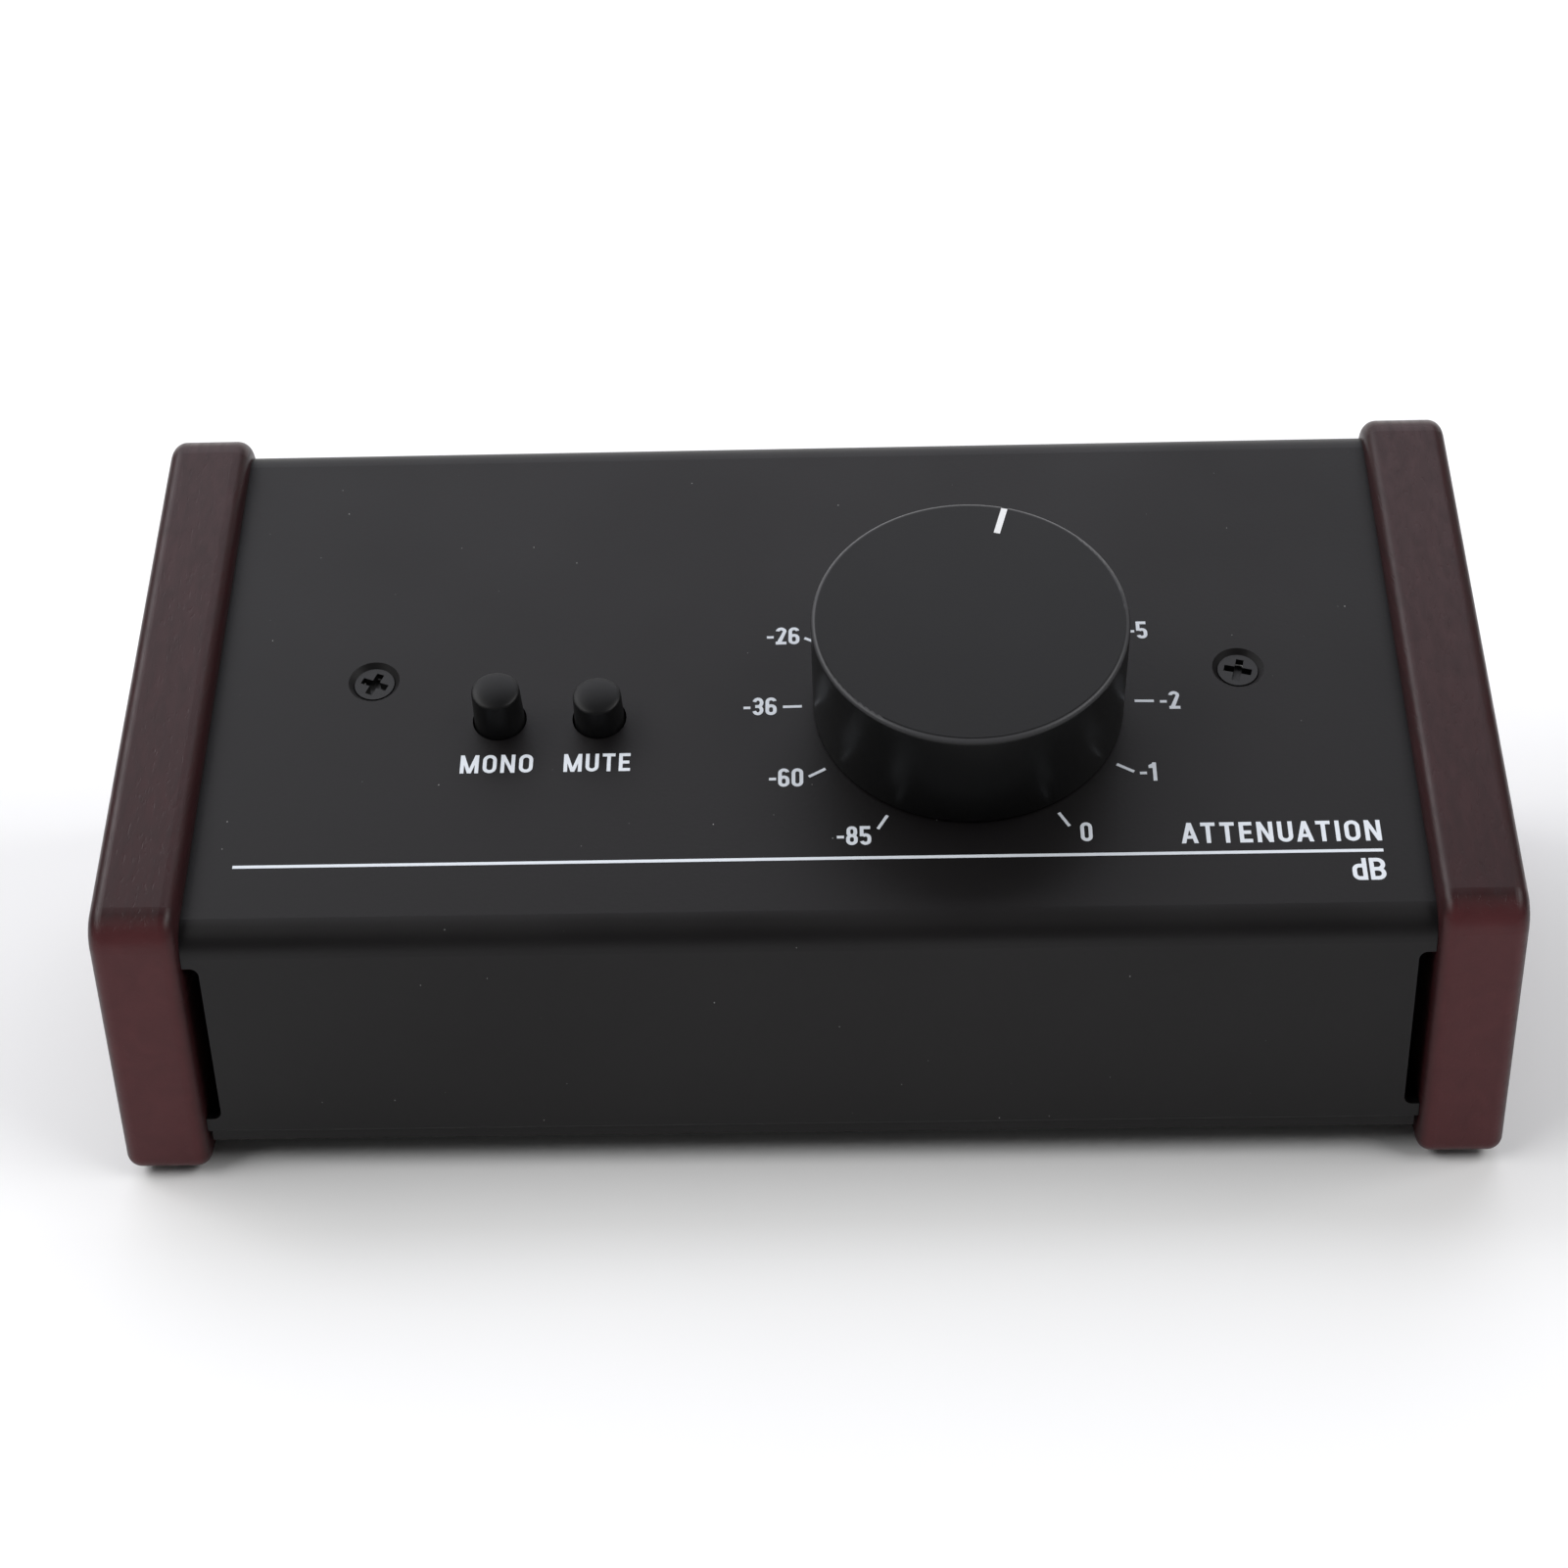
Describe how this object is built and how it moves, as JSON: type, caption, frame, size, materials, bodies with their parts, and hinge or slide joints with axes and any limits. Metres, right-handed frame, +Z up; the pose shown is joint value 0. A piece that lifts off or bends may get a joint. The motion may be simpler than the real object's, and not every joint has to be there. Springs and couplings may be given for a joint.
{
  "type": "studio monitor controller",
  "caption": "Desktop studio monitor controller: sloped folded-metal case between wooden cheeks, large attenuator knob, latching mono and mute buttons, and phone jacks in the rear wall.",
  "frame": {"origin": "on the table, at the middle of the overall width and depth (the feet's lower faces are at Z = 0)", "axes": "+X to the user's right along the width, +Y to the rear, +Z up"},
  "size_m": [0.176, 0.0866, 0.0697],
  "materials": {
    "powder_coat": "satin powder coat, near black",
    "stained_wood": "dark red-brown stain, satin lacquer",
    "black_anodised": "satin black anodised",
    "white_paint": "white filling paint",
    "black_screws": "black oxide",
    "foot_rubber": "matt",
    "black_plastic": "fine satin",
    "circuit_board": "green solder mask",
    "jack_moulding": "moulded",
    "nickel": "nickel plated",
    "contact_metal": "tin plated",
    "spring_wire": "bright wire",
    "plated_steel": "zinc plated",
    "cast_alloy": "die cast",
    "phenolic": "phenolic resin",
    "resistor_lacquer": "lacquered film resistor",
    "header_plastic": "moulded",
    "cable_jacket": "grey flat cable",
    "switch_plastic": "moulded"
  },
  "bodies": {
    "chassis": {"attenuator_back": "plated_steel", "attenuator_bush": "cast_alloy", "attenuator_gang_front": "phenolic", "attenuator_gang_rear": "phenolic", "attenuator_nut": "plated_steel", "attenuator_terminals": "contact_metal", "attenuator_washer": "plated_steel", "base_plate": "powder_coat", "base_screws": "black_screws", "board_screws": "plated_steel", "cheek_screws": "plated_steel", "control_board": "circuit_board", "control_header": "header_plastic", "foot_front_left": "foot_rubber", "foot_front_right": "foot_rubber", "foot_rear_left": "foot_rubber", "foot_rear_right": "foot_rubber", "input_left_contacts": "contact_metal", "input_left_jack": "jack_moulding", "input_right_contacts": "contact_metal", "input_right_jack": "jack_moulding", "jack_board": "circuit_board", "jack_header": "header_plastic", "jack_nuts": "nickel", "left_cheek": "stained_wood", "mono_spring": "spring_wire", "mono_switch_case": "switch_plastic", "mono_switch_lid": "plated_steel", "mono_switch_pins": "contact_metal", "mute_spring": "spring_wire", "mute_switch_case": "switch_plastic", "mute_switch_lid": "plated_steel", "mute_switch_pins": "contact_metal", "output_left_contacts": "contact_metal", "output_left_jack": "jack_moulding", "output_right_contacts": "contact_metal", "output_right_jack": "jack_moulding", "panel_screws": "black_screws", "panel_standoffs": "plated_steel", "ribbon_cable": "cable_jacket", "right_cheek": "stained_wood", "summing_resistors": "resistor_lacquer", "top_cover": "powder_coat"},
    "knob": {"knob": "black_anodised", "knob_pointer_line": "white_paint", "knob_grub_screw": "black_screws", "attenuator_shaft": "plated_steel", "attenuator_rotor_front": "phenolic", "attenuator_rotor_rear": "phenolic"},
    "mono_button": {"mono_cap": "black_plastic", "mono_plunger": "switch_plastic"},
    "mute_button": {"mute_cap": "black_plastic", "mute_plunger": "switch_plastic"}
  },
  "joints": [
    {"name": "knob_turn", "type": "hinge", "parent": "chassis", "child": "knob", "pos_m": [0.0211, -0.0126, 0.06356], "axis": [0, -0.3173, 0.9483], "range_deg": [-135, 165]},
    {"name": "mono_press", "type": "slide", "parent": "chassis", "child": "mono_button", "axis": [0, 0.3173, -0.9483], "range_m": [0, 0.0025], "stiffness_N_per_m": 500, "springref_m": -0.003, "deforming": ["mono_spring"]},
    {"name": "mute_press", "type": "slide", "parent": "chassis", "child": "mute_button", "axis": [0, 0.3173, -0.9483], "range_m": [-0.0013, 0.0012], "deforming": ["mute_spring"]}
  ]
}
